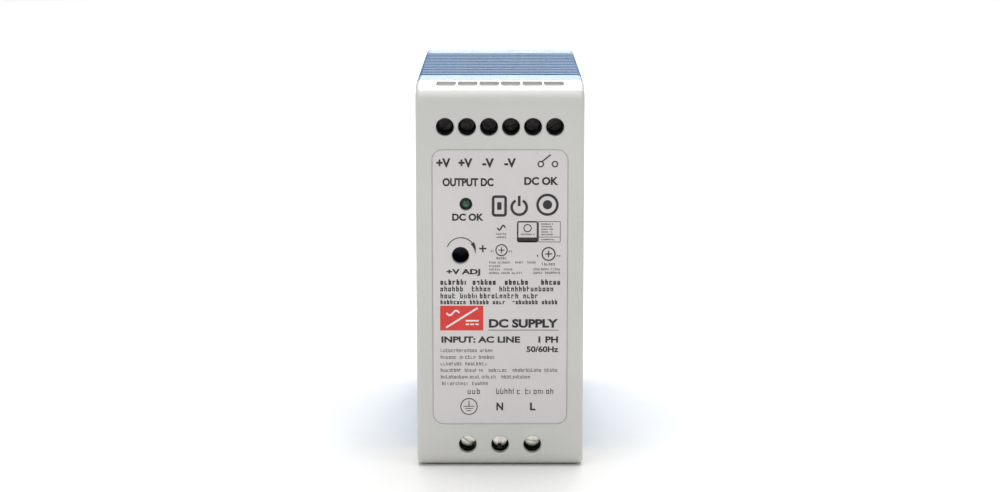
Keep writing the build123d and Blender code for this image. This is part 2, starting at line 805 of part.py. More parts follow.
def transformer_bobbin(y, z):
    """The coil former: a thin tube with two flanges, and feet with pins on the board."""
    mid = main_board_x - 14.0
    bobbin = ring_block((mid - 7.0, mid + 7.0), 4.9, 4.6, 4.1, 3.8, y, z, 0.5)
    for x in ((mid - 7.3, mid - 6.4), (mid + 6.4, mid + 7.3)):
        bobbin += ring_block(x, 10.5, 9.3, 4.1, 3.8, y, z, 1.0)
    pins = []
    for side in (-1, 1):
        foot = (y + side * 7.4 - 1.6, y + side * 7.4 + 1.6)
        bobbin += block((mid + 7.2, main_board_x - 0.2), foot, (z - 9.3, z + 9.3))
        pins += [(y + side * 7.4, z + dz) for dz in (-7.5, -2.5, 2.5, 7.5)]
    return bobbin + leads(pins)


def transformer_winding(y, z):
    """The taped coil between the flanges."""
    mid = main_board_x - 14.0
    return ring_block((mid - 6.3, mid + 6.3), 9.6, 8.6, 5.0, 4.7, y, z, 3.0)


def heatsink(y, z, wide, tall, thick=1.8):
    """A folded plate with two feet through the board and a hole for the package's screw."""
    base = main_board_x - 0.6
    plate = block((base - tall, base), (y - thick / 2, y + thick / 2), (z - wide / 2, z + wide / 2))
    fold = block((base - tall, base - tall + thick), (y - 7.0, y), (z - wide / 2, z + wide / 2))
    plate += fold
    plate = fillet(plate.edges().filter_by(Axis.X), 0.4)
    plate -= rod("y", package_screw_x, z, package_screw_radius + hole_clearance, (y - thick, y + thick))
    return plate + leads([(y, z - wide / 2 + 3), (y, z + wide / 2 - 3)], reach=1.0)


def power_transistor(y, z, face):
    """A tabbed three-lead package against a heatsink's face. face is the y of its metal tab."""
    base = package_screw_x + 12.4
    body = block((base - 9.2, base), (face - 4.4, face - 1.0), (z - 5.0, z + 5.0))
    tab = block((base - 15.4, base), (face - 1.2, face), (z - 5.0, z + 5.0))
    tab -= rod("y", package_screw_x, z, package_screw_radius + 0.3, (face - 3, face + 1))
    legs = leads([(y, z - 2.54), (y, z), (y, z + 2.54)], reach=5.6)
    return body + tab + legs


def fixing_screw(z, face, thick=1.8):
    """The screw that pulls a package's tab against its heatsink."""
    x = package_screw_x
    head = rod("y", x, z, 2.7, (face - 3.2, face - 1.2))
    head = chamfer(head.faces().sort_by(Axis.Y)[0].edges(), 0.4)
    slot = Box(5.0, 1.2, 0.7)
    head -= Pos(x, face - 3.2, z) * slot
    return head + rod("y", x, z, package_screw_radius, (face - 1.3, face + thick + 1.0))


def main_board():
    """The main board: tabs into the front board, and a hole for every lead."""
    low = wall + main_board_edge
    start = front_board_y + board_thickness + 0.05
    x = (main_board_x, solder_side_x)
    tails = (input_z + 6.0, output_z - 6.0)
    board = block(x, (start, vent_start + 1), tails)
    board += block(x, (vent_start - 5, main_board_end), (low, height - low))
    for z in board_tab_z:
        board += block(x, (front_board_y - 0.6, start + 1), (z, z + board_tab_length))
    radius = lead_radius + hole_clearance
    return board - [rod("x", y, z, radius, (x[0] - 1, x[1] + 1)) for y, z in board_holes]


def solder_joints():
    """A small cone of solder round every lead."""
    made = []
    for y, z in board_holes:
        cone = Pos(solder_side_x + solder_height / 2, y, z) * Rot(0, 90, 0) * Cone(
            solder_radius, lead_radius + 0.1, solder_height
        )
        made.append(cone - rod("x", y, z, lead_radius + 0.02, (solder_side_x - 1, lead_end_x + 1)))
    return Compound(children=made)


def surface_parts():
    """The controller chip and small surface parts on the solder side."""
    made = []
    for offset, z, size_y, size_z, tall in (
        (16.5, 33.5, 4.0, 5.0, 1.5),
        (9.0, 51.0, 5.0, 4.0, 1.5),
        (0.0, 30.0, 3.2, 1.6, 0.6),
        (0.0, 33.0, 3.2, 1.6, 0.6),
        (0.0, 36.0, 3.2, 1.6, 0.6),
        (2.5, 50.0, 1.6, 3.2, 0.6),
        (35.0, 33.0, 3.2, 1.6, 0.6),
        (35.0, 36.0, 3.2, 1.6, 0.6),
        (39.0, 62.0, 1.6, 3.2, 0.6),
        (14.0, 72.5, 3.2, 1.6, 0.6),
    ):
        y = vent_start + offset
        size = ((y - size_y / 2, y + size_y / 2), (z - size_z / 2, z + size_z / 2))
        made.append(block((solder_side_x, solder_side_x + tall), *size))
    return Compound(children=made)


def insulation_sheet():
    """The thin sheet between the solder side and the casing's wall."""
    x = inner_half - 0.7
    return block((x, x + 0.3), (vent_start - 5, main_board_end), (wall + 0.4, height - wall - 0.4))


def serial_sticker():
    """The small label on the casing's underside."""
    wide, long, thick = serial_label
    return block(
        (-wide / 2 - 0.5, wide / 2 - 0.5), (serial_label_y, serial_label_y + long), (-thick, 0)
    )


def main():
    """Builds every piece and writes it."""
    os.makedirs("parts", exist_ok=True)
    write("front_cover", front_cover())
    write("rear_casing", rear_casing())
    write("rating_label", rating_label())
    write("serial_label", serial_sticker())
    write("rail_clip", rail_clip())
    write("clip_leg_left", clip_leg(-1))
    write("clip_leg_right", clip_leg(1))
    for name, row, slots in (("output", output_row, output_slots), ("input", input_row, input_slots)):
        write(f"{name}_terminal_body", row.body())
        write(f"{name}_contacts", row.contacts())
        for i, (x, slot) in enumerate(zip(row.places, slots, strict=True), 1):
            write(f"{name}_screw_{i}", row.screw(x, slot))
            write(f"{name}_clamp_{i}", row.clamp(x))
    write("status_lamp", status_lamp())
    write("lamp_spacer", lamp_spacer())
    write("trimmer_body", trimmer_body())
    write("trimmer_rotor", trimmer_rotor())
    write("front_board", front_board())
    # components on the main board, each y counted from the vents' start
    y = [vent_start + offset for offset in (-4.8, 6.5, 7.5, 13.5, 22.5, 24.0, 29.0, 42.0, 52.0)]
    write("fuse", box_part(y[0], 8.6, (8.0, 8.4, 4.2), [(-2.5, 0), (2.5, 0)]))
    write("varistor", disc_part(y[0] + 0.3, 18.5, 5.0, 4.0))
    write("inrush_thermistor", disc_part(y[0] + 0.3, 31.0, 4.5, 4.0))
    write("bridge_rectifier", box_part(y[1], 34.0, (14.0, 3.4, 15.0), [(0, -5), (0, 0), (0, 5)]))
    write("line_choke_core", choke_core(y[2], 15.8, 8.5, 4.6, 7.0))
    write("line_choke_windings", choke_turns(y[2], 15.8, 8.5, 4.6, 7.0))
    write("line_capacitor", box_part(y[4], 13.6, (16.0, 9.0, 18.0), [(0, -7.5), (0, 7.5)]))
    write("bulk_capacitor", can_capacitor(y[7], 15.3, 11.0, 27.0, 10.0))
    write("suppression_capacitors", disc_part(y[3], 31.0, 3.4, 3.0) + disc_part(y[7] - 5.5, 46.0, 3.4, 3.0))
    write("transformer_core", transformer_core(y[5], 45.0))
    write("transformer_bobbin", transformer_bobbin(y[5], 45.0))
    write("transformer_winding", transformer_winding(y[5], 45.0))
    write("primary_heatsink", heatsink(y[8], 42.5, 26.0, 26.0))
    write("switching_transistor", power_transistor(y[8] - 2.8, 42.5, y[8] - 0.9))
    write("output_heatsink", heatsink(y[8] - 7.0, 73.0, 22.0, 24.0))
    write("output_rectifier", power_transistor(y[8] - 9.8, 73.0, y[8] - 7.9))
    write("heatsink_screws", fixing_screw(42.5, y[8] - 0.9) + fixing_screw(73.0, y[8] - 7.9))
    outputs = can_capacitor(y[6], 66.5, 5.0, 20.0, 5.0) + can_capacitor(y[6], 78.5, 5.0, 20.0, 5.0)
    write("output_capacitors", outputs)
    write("output_choke", can_capacitor(y[6] - 11.5, 78.5, 4.5, 14.0, 5.0))
    corners = [(-3, -5), (3, -5), (-3, 5), (3, 5)]
    write("alarm_relay", box_part(vent_start - 1.0, 64.0, (10.0, 9.0, 14.0), corners))
    write("optocouplers", box_part(vent_start + 11.0, 58.0, (3.5, 6.4, 4.6), [(-2.5, -1.3), (2.5, 1.3)]))
    write("main_board", main_board())
    write("solder_joints", solder_joints())
    write("surface_parts", surface_parts())
    write("insulation_sheet", insulation_sheet())


main()
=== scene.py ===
"""Looks of a narrow DIN rail power supply: its finishes, printed label, serial sticker and studio."""

import json
import logging
import math
from dataclasses import dataclass, field
from enum import Enum
from typing import ClassVar

import bpy
import numpy as np
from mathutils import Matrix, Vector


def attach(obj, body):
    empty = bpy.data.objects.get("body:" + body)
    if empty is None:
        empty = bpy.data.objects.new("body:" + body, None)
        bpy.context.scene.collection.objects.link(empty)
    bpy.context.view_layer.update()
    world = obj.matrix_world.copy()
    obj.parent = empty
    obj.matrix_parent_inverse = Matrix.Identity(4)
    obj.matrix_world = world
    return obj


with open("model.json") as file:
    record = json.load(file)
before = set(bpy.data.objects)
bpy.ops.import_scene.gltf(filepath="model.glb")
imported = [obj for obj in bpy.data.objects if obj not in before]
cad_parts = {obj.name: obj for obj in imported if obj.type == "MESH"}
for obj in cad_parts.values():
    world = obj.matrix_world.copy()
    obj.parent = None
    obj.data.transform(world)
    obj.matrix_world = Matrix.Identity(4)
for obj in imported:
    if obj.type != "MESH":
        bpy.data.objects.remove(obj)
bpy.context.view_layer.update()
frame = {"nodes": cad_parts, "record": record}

log = logging.getLogger("din_rail_supply")

MM = 0.001
HOUSING = "housing"
UNDERSIDE_Z = 1.6  # mm from the frame's floor to the casing's underside
MIDDLE_Y = 50.0  # mm from the front face to the frame's origin
TRACKED_AREA = 5.0  # mm across an area of a board that has tracks
STRIPE_MARK = 1.1  # mm across a mark in a sleeve's stripe
STRIPE_MARK_SQUEEZE = (1.0, 1.0, 2.4)  # how many times finer the marks are on each axis
SLEEVE_CREASE = 3.0  # mm across a soft crease of a shrunk sleeve
SMALLEST_SPECK = 0.3  # mm, the finest speck of colour that still shows
ONE_PER_UNIT = math.pi / 10  # the scale at which a wave texture repeats once in each unit
COAT_ROUGHNESS = 0.08
GLOW_DEPTH = 0.6  # mm that light travels under the skin of a pale plastic

Quads = np.ndarray  # one row each: four corners, two coordinates


def linear(code: str) -> tuple[float, float, float, float]:
    """Turns an sRGB hex colour into linear light.

    Args:
        code: six hex digits.

    Returns:
        Red, green, blue and an alpha of one.
    """
    parts = np.array([int(code[i : i + 2], 16) for i in (0, 2, 4)]) / 255
    light = np.where(parts <= 0.04045, parts / 12.92, ((parts + 0.055) / 1.055) ** 2.4)
    return (*(float(v) for v in light), 1.0)


def add(
    tree: bpy.types.NodeTree, kind: str, inputs: dict | None = None, **settings: object
) -> bpy.types.Node:
    """Adds one shader node with its settings and links.

    Args:
        tree: the material's node tree.
        kind: the node's type without its ShaderNode prefix.
        inputs: a value, or another node's output socket, for each input by name or place.
        settings: the node's own properties.

    Returns:
        The new node.
    """
    node = tree.nodes.new("ShaderNode" + kind)
    for key, value in settings.items():
        setattr(node, key, value)
    for key, value in (inputs or {}).items():
        if isinstance(value, bpy.types.NodeSocket):
            tree.links.new(value, node.inputs[key])
        else:
            node.inputs[key].default_value = value
    return node


class Surface(Enum):
    """How a finish's surface was made."""

    ERODED = "moulded against a spark-eroded tool"
    BRUSHED = "drawn, rolled or turned along one axis"
    LAMINATED = "laminate under lacquer, with copper tracks"
    SLEEVED = "shrunk sleeve with a printed stripe"
    DIPPED = "dipped, cast or melted, so it has soft lumps"
    TAPED = "wound with tape in turns"


def repeats(size: float, along: tuple[float, float, float] = (1.0, 1.0, 1.0)) -> tuple[float, float, float]:
    """How often a pattern repeats in a metre.

    Args:
        size: what one repeat measures, in mm.
        along: how many times finer the pattern is on each axis.

    Returns:
        The repeats on each axis.
    """
    return tuple(finer / (size * MM) for finer in along)


@dataclass(frozen=True)
class Finish:
    """One real surface: its two colours, gloss, and the size and depth of its texture in mm."""

    title: str
    colour: str
    shade: str
    surface: Surface
    roughness: float
    grain: float
    relief: float
    along: tuple[float, float, float] = (1.0, 1.0, 1.0)
    metallic: float = 0.0
    ior: float = 1.5
    coat: float = 0.0
    spread: float = 0.07  # how far the roughness strays either way
    clear: float = 0.0
    glow: float = 0.0
    mottle: float = 9.0  # mm across a patch of the second colour
    specular: float = 0.5

    made: ClassVar[dict[str, bpy.types.Material]] = {}

    def pattern(self, tree: bpy.types.NodeTree) -> tuple[bpy.types.NodeSocket, bpy.types.NodeSocket]:
        """The surface's height and its share of the second colour.

        Args:
            tree: the material's node tree.

        Returns:
            The height's socket and the share's socket.
        """
        place = add(tree, "TexCoord").outputs["Object"]
        grain = add(tree, "Mapping", {"Vector": place, "Scale": repeats(self.grain, self.along)})
        grain = grain.outputs["Vector"]
        if self.surface is Surface.TAPED:
            wave = {"Vector": grain, "Scale": ONE_PER_UNIT, "Distortion": 0.5, "Detail": 1.0}
            turns = add(tree, "TexWave", wave)
            turns = turns.outputs["Fac"]
            # painted shadow: the darker colour is laid along each lap's edge, where the next turn would shade
            # it
            lap_edge_shadow = {"Value": turns, "From Min": 0.0, "From Max": 0.55, "To Min": 0.9, "To Max": 0.1}
            return turns, add(tree, "MapRange", lap_edge_shadow).outputs["Result"]
        if self.surface is Surface.LAMINATED:
            black, grey, white = (0, 0, 0, 1), (0.15, 0.15, 0.15, 1), (1, 1, 1, 1)
            grid = add(tree, "TexBrick", {
                "Vector": grain, "Scale": 1.0, "Mortar Size": 0.09, "Brick Width": 2.6, "Row Height": 0.8,
                "Color1": black, "Color2": grey, "Mortar": white,
            })
            areas = add(tree, "Mapping", {"Vector": place, "Scale": repeats(TRACKED_AREA)})
            areas = add(tree, "TexNoise", {"Vector": areas.outputs["Vector"], "Scale": 1.0})
            areas = add(tree, "MapRange", {"Value": areas.outputs["Fac"], "From Min": 0.45, "From Max": 0.55})
            tracks = {0: grid.outputs["Color"], 1: areas.outputs["Result"]}
            tracks = add(tree, "Math", tracks, operation="MULTIPLY").outputs["Value"]
            return tracks, tracks
        if self.surface is Surface.SLEEVED:
            stripe = add(tree, "TexWave", {"Vector": grain, "Scale": ONE_PER_UNIT, "Distortion": 0.0})
            edge = add(tree, "MapRange", {"Value": stripe.outputs["Fac"], "From Min": 0.9, "From Max": 0.93})
            marks = add(tree, "Mapping", {"Vector": place, "Scale": repeats(STRIPE_MARK, STRIPE_MARK_SQUEEZE)})
            marks = add(tree, "TexNoise", {"Vector": marks.outputs["Vector"], "Scale": 1.0, "Detail": 0.0})
            marks = {"Value": marks.outputs["Fac"], "From Min": 0.5, "From Max": 0.56, "To Min": 0.25}
            marks = add(tree, "MapRange", marks)
            printed = {0: edge.outputs["Result"], 1: marks.outputs["Result"]}
            printed = add(tree, "Math", printed, operation="MULTIPLY").outputs["Value"]
            creases = add(tree, "Mapping", {"Vector": place, "Scale": repeats(SLEEVE_CREASE)})
            creases = add(tree, "TexNoise", {"Vector": creases.outputs["Vector"], "Scale": 1.0})
            return creases.outputs["Fac"], printed
        detail = {Surface.ERODED: 3.0, Surface.BRUSHED: 5.0, Surface.DIPPED: 1.0}[self.surface]
        relief = add(tree, "TexNoise", {"Vector": grain, "Scale": 1.0, "Detail": detail}).outputs["Fac"]
        patches = add(tree, "Mapping", {"Vector": place, "Scale": repeats(self.mottle)})
        patches = add(tree, "TexNoise", {"Vector": patches.outputs["Vector"], "Scale": 1.0})
        patches = add(tree, "MapRange", {"Value": patches.outputs["Fac"], "From Min": 0.35, "From Max": 0.65})
        return relief, patches.outputs["Result"]

    def material(self) -> bpy.types.Material:
        """The finish's material, made once.

        Returns:
            A node material whose colour, roughness and normal all come from the pattern.
        """
        if self.title in self.made:
            return self.made[self.title]
        material = bpy.data.materials.new(self.title)
        material.use_nodes = True
        tree = material.node_tree
        tree.nodes.clear()
        height, share = self.pattern(tree)
        place = add(tree, "TexCoord").outputs["Object"]
        specks = add(tree, "Mapping", {"Vector": place, "Scale": repeats(max(self.grain, SMALLEST_SPECK))})
        specks = add(tree, "TexNoise", {"Vector": specks.outputs["Vector"], "Scale": 1.0, "Detail": 1.0})
        specks = {"Value": specks.outputs["Fac"], "From Min": 0.3, "From Max": 0.7, "To Max": 0.25}
        specks = add(tree, "MapRange", specks).outputs["Result"]
        share = add(tree, "Math", {0: share, 1: specks}, operation="ADD", use_clamp=True).outputs["Value"]
        colours = {0: share, 6: linear(self.colour), 7: linear(self.shade)}
        gloss = add(tree, "MapRange", {
            "Value": height, "From Min": 0.25, "From Max": 0.75,
            "To Min": max(self.roughness - self.spread, 0.02), "To Max": min(self.roughness + self.spread, 1.0),
        })
        bump = add(tree, "Bump", {"Height": height, "Strength": 1.0, "Distance": self.relief * MM})
        shader = add(tree, "BsdfPrincipled", {
            "Base Color": add(tree, "Mix", colours, data_type="RGBA").outputs[2],
            "Roughness": gloss.outputs["Result"],
            "Normal": bump.outputs["Normal"],
            "Metallic": self.metallic,
            "IOR": self.ior,
            "Specular IOR Level": self.specular,
            "Coat Weight": self.coat,
            "Coat Roughness": COAT_ROUGHNESS,
            "Transmission Weight": self.clear,
            "Subsurface Weight": self.glow,
            "Subsurface Scale": GLOW_DEPTH * MM,
        })
        add(tree, "OutputMaterial", {"Surface": shader.outputs["BSDF"]})
        self.made[self.title] = material
        return material

    def dress(self, piece: bpy.types.Object) -> None:
        """Puts this finish's material in every slot of a piece."""
        if not piece.data.materials:
            piece.data.materials.append(self.material())
        for place in range(len(piece.data.materials)):
            piece.data.materials[place] = self.material()


# The record's slots, each with the real material it stands for and what that gives the eye. Grains under
# 0.3 mm are drawn up to twice as coarse as they are, or they would be lost when the whole object is seen.
FINISHES: dict[str, Finish] = {
    # polycarbonate blend from a finely eroded tool: satin, soft highlights, hardly any sparkle
    "cover_plastic": Finish(
        "polycarbonate_light_grey_moulded", "CDCDC9", "C9C9C5", Surface.ERODED, 0.42, 0.4, 0.03,
        ior=1.58, glow=0.05, mottle=22),
    # the same blend from a coarse tool: leathery grain that glitters where light grazes it
    "casing_plastic": Finish(
        "polycarbonate_blue_coarse_moulded", "377CAE", "3276A7", Surface.ERODED, 0.36, 0.7, 0.18,
        ior=1.58, spread=0.14, mottle=25),
    # acetal: waxy, a little translucent
    "clip_plastic": Finish(
        "acetal_light_grey_moulded", "CBCDC9", "C1C4C0", Surface.ERODED, 0.36, 0.4, 0.008, glow=0.12, mottle=8),
    # reverse-printed polyester film with a velvet face: flat warm grey, no clear reflections
    "label_film": Finish(
        "polyester_film_velvet", "D6D2D2", "D2CECE", Surface.ERODED, 0.5, 0.3, 0.008, mottle=20),
    # coated paper: bright, cold white with a soft sheen
    "sticker_paper": Finish(
        "coated_paper_label", "EDEDF3", "E2E2EA", Surface.ERODED, 0.45, 0.25, 0.004, mottle=6),
    # glass-filled nylon: dull dark green, fibres just under the skin
    "terminal_plastic": Finish(
        "glass_filled_nylon_green_moulded", "12331F", "0C2616", Surface.ERODED, 0.4, 0.3, 0.02, mottle=4),
    # nickel-plated steel, tumbled: bright and warm, with fine turning marks round the head
    "screw_steel": Finish(
        "nickel_plated_steel_tumbled", "F4F2EC", "DDDAD2", Surface.BRUSHED, 0.07, 0.5, 0.004,
        along=(1.0, 1.0, 6.0), metallic=1, spread=0.04, mottle=1.5),
    # the screw steel drawn almost black for the output screws, darker than the input screws: only its edges
    # catch light
    "dark_screw_steel": Finish(
        "screw_steel_near_black_tumbled", "3B3836", "282625", Surface.BRUSHED, 0.26, 0.5, 0.008,
        along=(1.0, 1.0, 6.0), metallic=1, spread=0.08, mottle=1.5),
    # zinc-plated steel, pressed: greyish metal with drawn streaks
    "clamp_steel": Finish(
        "zinc_plated_steel_pressed", "BDBAB3", "8F8B83", Surface.BRUSHED, 0.24, 0.5, 0.01,
        along=(6.0, 1.0, 1.0), metallic=1, mottle=2),
    # tinned copper alloy, stamped: pale metal with a hint of yellow
    "contact_copper": Finish(
        "tinned_copper_alloy_stamped", "C9C2B2", "A89C84", Surface.BRUSHED, 0.28, 0.6, 0.008,
        along=(1.0, 5.0, 1.0), metallic=1, mottle=2),
    # tinted epoxy, cast: the glassy dark green lens of an unlit lamp
    "lamp_resin": Finish(
        "epoxy_lens_green_cast", "0F4A26", "0A3A1C", Surface.DIPPED, 0.08, 2.0, 0.01,
        ior=1.53, coat=0.8, clear=0.25, glow=0.3, spread=0.03),
    # black nylon: matt, without depth
    "spacer_nylon": Finish(
        "nylon_black_moulded", "22262A", "191C1F", Surface.ERODED, 0.5, 0.3, 0.01),
    # polyester resin: hard, clean blue with a satin face
    "trimmer_plastic": Finish(
        "polyester_resin_blue_moulded", "1C3566", "162B55", Surface.ERODED, 0.35, 0.4, 0.01, mottle=3),
    # the same resin, turned: darker, with fine rings
    "rotor_plastic": Finish(
        "polyester_resin_dark_blue_turned", "172A50", "101F3D", Surface.BRUSHED, 0.3, 0.5, 0.01,
        along=(1.0, 1.0, 5.0), mottle=2),
    # glass laminate under green lacquer: tracks show as a lighter, raised maze
    "front_board_laminate": Finish(
        "glass_laminate_green_lacquered", "2A5535", "4A7F52", Surface.LAMINATED, 0.3, 1.6, 0.02,
        along=(1.0, 0.0, 1.0), coat=0.5),
    # paper laminate under green lacquer: a little yellower, with wider tracks
    "main_board_laminate": Finish(
        "paper_laminate_green_lacquered", "33603C", "578A5A", Surface.LAMINATED, 0.32, 2.2, 0.02,
        along=(0.0, 1.0, 1.0), coat=0.4),
    # vinyl sleeve, shrunk: deep glossy blue with a pale stripe of marks down it
    "capacitor_sleeve": Finish(
        "vinyl_sleeve_deep_blue_shrunk", "151C5C", "5A66B4", Surface.SLEEVED, 0.22, 9.0, 0.02,
        along=(1.0, 1.0, 0.0), coat=0.5, spread=0.05),
    # vinyl sleeve, shrunk: glossy black with a grey stripe
    "output_capacitor_sleeve": Finish(
        "vinyl_sleeve_black_shrunk", "14161C", "9AA39C", Surface.SLEEVED, 0.25, 6.0, 0.02,
        along=(1.0, 0.6, 0.0), coat=0.5, spread=0.05),
    # polyester box, moulded: opaque mustard yellow, satin
    "film_box": Finish(
        "film_capacitor_box_yellow_moulded", "C9B045", "B79E38", Surface.ERODED, 0.4, 0.5, 0.01, mottle=5),
    # epoxy powder, sprayed: thick green skin with orange peel
    "choke_coating": Finish(
        "epoxy_powder_green_sprayed", "2B5A3C", "234C32", Surface.DIPPED, 0.38, 0.9, 0.03, mottle=4),
    # enamelled copper wire: clear lacquer over warm bright metal
    "enamelled_copper": Finish(
        "copper_wire_enamelled", "B8652F", "8E4620", Surface.DIPPED, 0.2, 1.5, 0.01,
        metallic=1, coat=0.8, mottle=2),
    # black polyamide: even, satin
    "fuse_box": Finish(
        "polyamide_black_moulded", "29292B", "1E1E20", Surface.ERODED, 0.42, 0.4, 0.01),
    # epoxy, dipped: shiny blue skin, thicker and wavy near its rim
    "varistor_coating": Finish(
        "epoxy_blue_dipped", "2A5796", "224A82", Surface.DIPPED, 0.25, 2.2, 0.06, coat=0.4, mottle=4),
    # silicone, dipped: dull, rubbery dark green
    "thermistor_coating": Finish(
        "silicone_dark_green_dipped", "2B3A31", "212E26", Surface.DIPPED, 0.5, 1.6, 0.05, mottle=3),
    # epoxy, dipped: lighter blue with soft lumps
    "disc_coating": Finish(
        "epoxy_light_blue_dipped", "2F6DA8", "285E93", Surface.DIPPED, 0.28, 2.0, 0.05, coat=0.3, mottle=4),
    # black epoxy, transfer moulded: matt charcoal
    "package_epoxy": Finish(
        "epoxy_black_transfer_moulded", "232324", "2E2E30", Surface.ERODED, 0.55, 0.25, 0.012, mottle=3),
    # sintered ferrite, ground: grey-black and stony
    "ferrite": Finish(
        "ferrite_sintered_ground", "39393C", "2C2C2F", Surface.ERODED, 0.6, 0.35, 0.03, mottle=5),
    # phenolic resin: dark brown, hard and shiny
    "bobbin_phenolic": Finish(
        "phenolic_dark_brown_moulded", "2B2623", "211D1A", Surface.ERODED, 0.35, 0.5, 0.012, mottle=3),
    # polyester tape, wound: glossy yellow turns with a painted shadow along each edge
    "winding_tape": Finish(
        "polyester_tape_yellow_wound", "D6B236", "B7922A", Surface.TAPED, 0.25, 4.2, 0.03,
        along=(0.0, 0.0, 1.0), coat=0.5, ior=1.57),
    # aluminium, extruded: pale grey with long streaks from the die
    "heatsink_aluminium": Finish(
        "aluminium_extruded_mill", "C2C4C6", "A9ABAE", Surface.BRUSHED, 0.3, 0.9, 0.012,
        along=(5.0, 5.0, 0.4), metallic=1, mottle=6),
    # polyester resin case: dark blue, satin
    "relay_case": Finish(
        "polybutylene_dark_blue_moulded", "28385A", "202E4B", Surface.ERODED, 0.35, 0.5, 0.01, mottle=4),
    # tin solder: bright, pooled and lumpy
    "solder": Finish(
        "tin_solder_reflowed", "D2D3D6", "A7A8AC", Surface.DIPPED, 0.2, 0.7, 0.05, metallic=1, mottle=1.2),
    # polyester sheet: milky white, slightly shiny
    "insulator": Finish(
        "polyester_sheet_natural", "DDE0E3", "D2D6DA", Surface.ERODED, 0.3, 0.8, 0.005, coat=0.2, mottle=10),
}

# screen ink: solid, slightly shiny where it lies thick
INK = Finish("screen_ink_black", "1B1B21", "25252C", Surface.ERODED, 0.4, 0.3, 0.003, mottle=3)
# the same ink in fine lines, where it covers less and looks greyer
SMALL_INK = Finish("screen_ink_charcoal_fine", "2C2B30", "3A393E", Surface.ERODED, 0.45, 0.3, 0.003, mottle=3)
# signal red ink: flat and opaque
RED_INK = Finish("screen_ink_red", "DE3A33", "D6332D", Surface.ERODED, 0.4, 0.3, 0.003, mottle=4)
# white ink over the red
WHITE_INK = Finish("screen_ink_white", "F1F1F0", "E6E6E6", Surface.ERODED, 0.4, 0.3, 0.003, mottle=4)
# thermal transfer print: matt black with pinholes
STICKER_INK = Finish("thermal_print_black", "1D1C20", "2B2A2E", Surface.ERODED, 0.55, 0.25, 0.003, mottle=2)
# painted studio board: matt white, without any visible texture
BACKDROP = Finish(
    "studio_board_pale_painted", "F7F7F6", "F2F2F1", Surface.ERODED, 0.85, 6.0, 0.02, mottle=180, specular=0.2)


def joined(*parts: Quads) -> Quads:
    """Stacks several arrays of quads into one."""
    return np.concatenate([np.asarray(p, float).reshape(-1, 4, 2) for p in parts])


def ribbon(path: np.ndarray, width: float | np.ndarray, closed: bool = False) -> Quads:
    """A flat band carried along a path: each point is offset half the width both ways along the path's normal.

    Args:
        path: points, one row each, in mm.
        width: the band's width, the same everywhere or one value for each point.
        closed: whether the band joins its own start.

    Returns:
        One quad for each step of the path.
    """
    path = np.asarray(path, float)
    if closed:
        run = np.roll(path, -1, 0) - np.roll(path, 1, 0)
    else:
        run = np.gradient(path, axis=0)
    run /= np.linalg.norm(run, axis=1, keepdims=True)
    offset = np.stack([-run[:, 1], run[:, 0]], 1) * np.broadcast_to(width, len(path))[:, None] / 2
    left, right = path + offset, path - offset
    if closed:
        left, right = np.vstack([left, left[:1]]), np.vstack([right, right[:1]])
    return np.stack([right[:-1], right[1:], left[1:], left[:-1]], 1)


def arc(
    centre: tuple[float, float], radius: float, width: float | np.ndarray,
    start: float = 0, end: float = 360, steps: int = 40,
) -> Quads:
    """A band along a circle: its path is the centre plus the radius times an angle's cosine and sine.

    Args:
        centre: the circle's centre, in mm.
        radius: its radius, in mm.
        width: the band's width, the same everywhere or one value for each point.
        start: the first angle, in degrees.
        end: the last angle, in degrees; a full turn closes the band.
        steps: how many quads it has.

    Returns:
        The band's quads.
    """
    whole = abs(end - start) >= 360
    angle = np.radians(np.linspace(start, end, steps + 1)[: steps if whole else None])
    path = np.array(centre) + radius * np.stack([np.cos(angle), np.sin(angle)], 1)
    return ribbon(path, width, whole)


def bars(*edges: tuple[float, float, float, float]) -> Quads:
    """Upright rectangles, each given as its left, right, bottom and top."""
    x0, x1, y0, y1 = np.array(edges, float).reshape(-1, 4).T
    return np.stack([x0, y0, x1, y0, x1, y1, x0, y1], 1).reshape(-1, 4, 2)


def frame_band(left: float, right: float, low: float, high: float, corner: float, width: float) -> Quads:
    """A band round a rectangle with quarter-circle corners.

    Its path is the corner's centre plus the corner's radius times an angle's cosine and sine, once round.

    Args:
        left: the path's left edge, in mm.
        right: its right edge.
        low: its lower edge.
        high: its upper edge.
        corner: the corners' radius.
        width: the band's width.

    Returns:
        The band's quads.
    """
    turn = np.radians(np.arange(0, 360, 15))
    side = np.stack([np.sign(np.cos(turn + 0.01)), np.sign(np.sin(turn + 0.01))], 1)
    middle = np.array([(left + right) / 2, (low + high) / 2])
    half = np.array([(right - left) / 2, (high - low) / 2]) - corner
    path = middle + side * half + corner * np.stack([np.cos(turn), np.sin(turn)], 1)
    return ribbon(path, width, True)


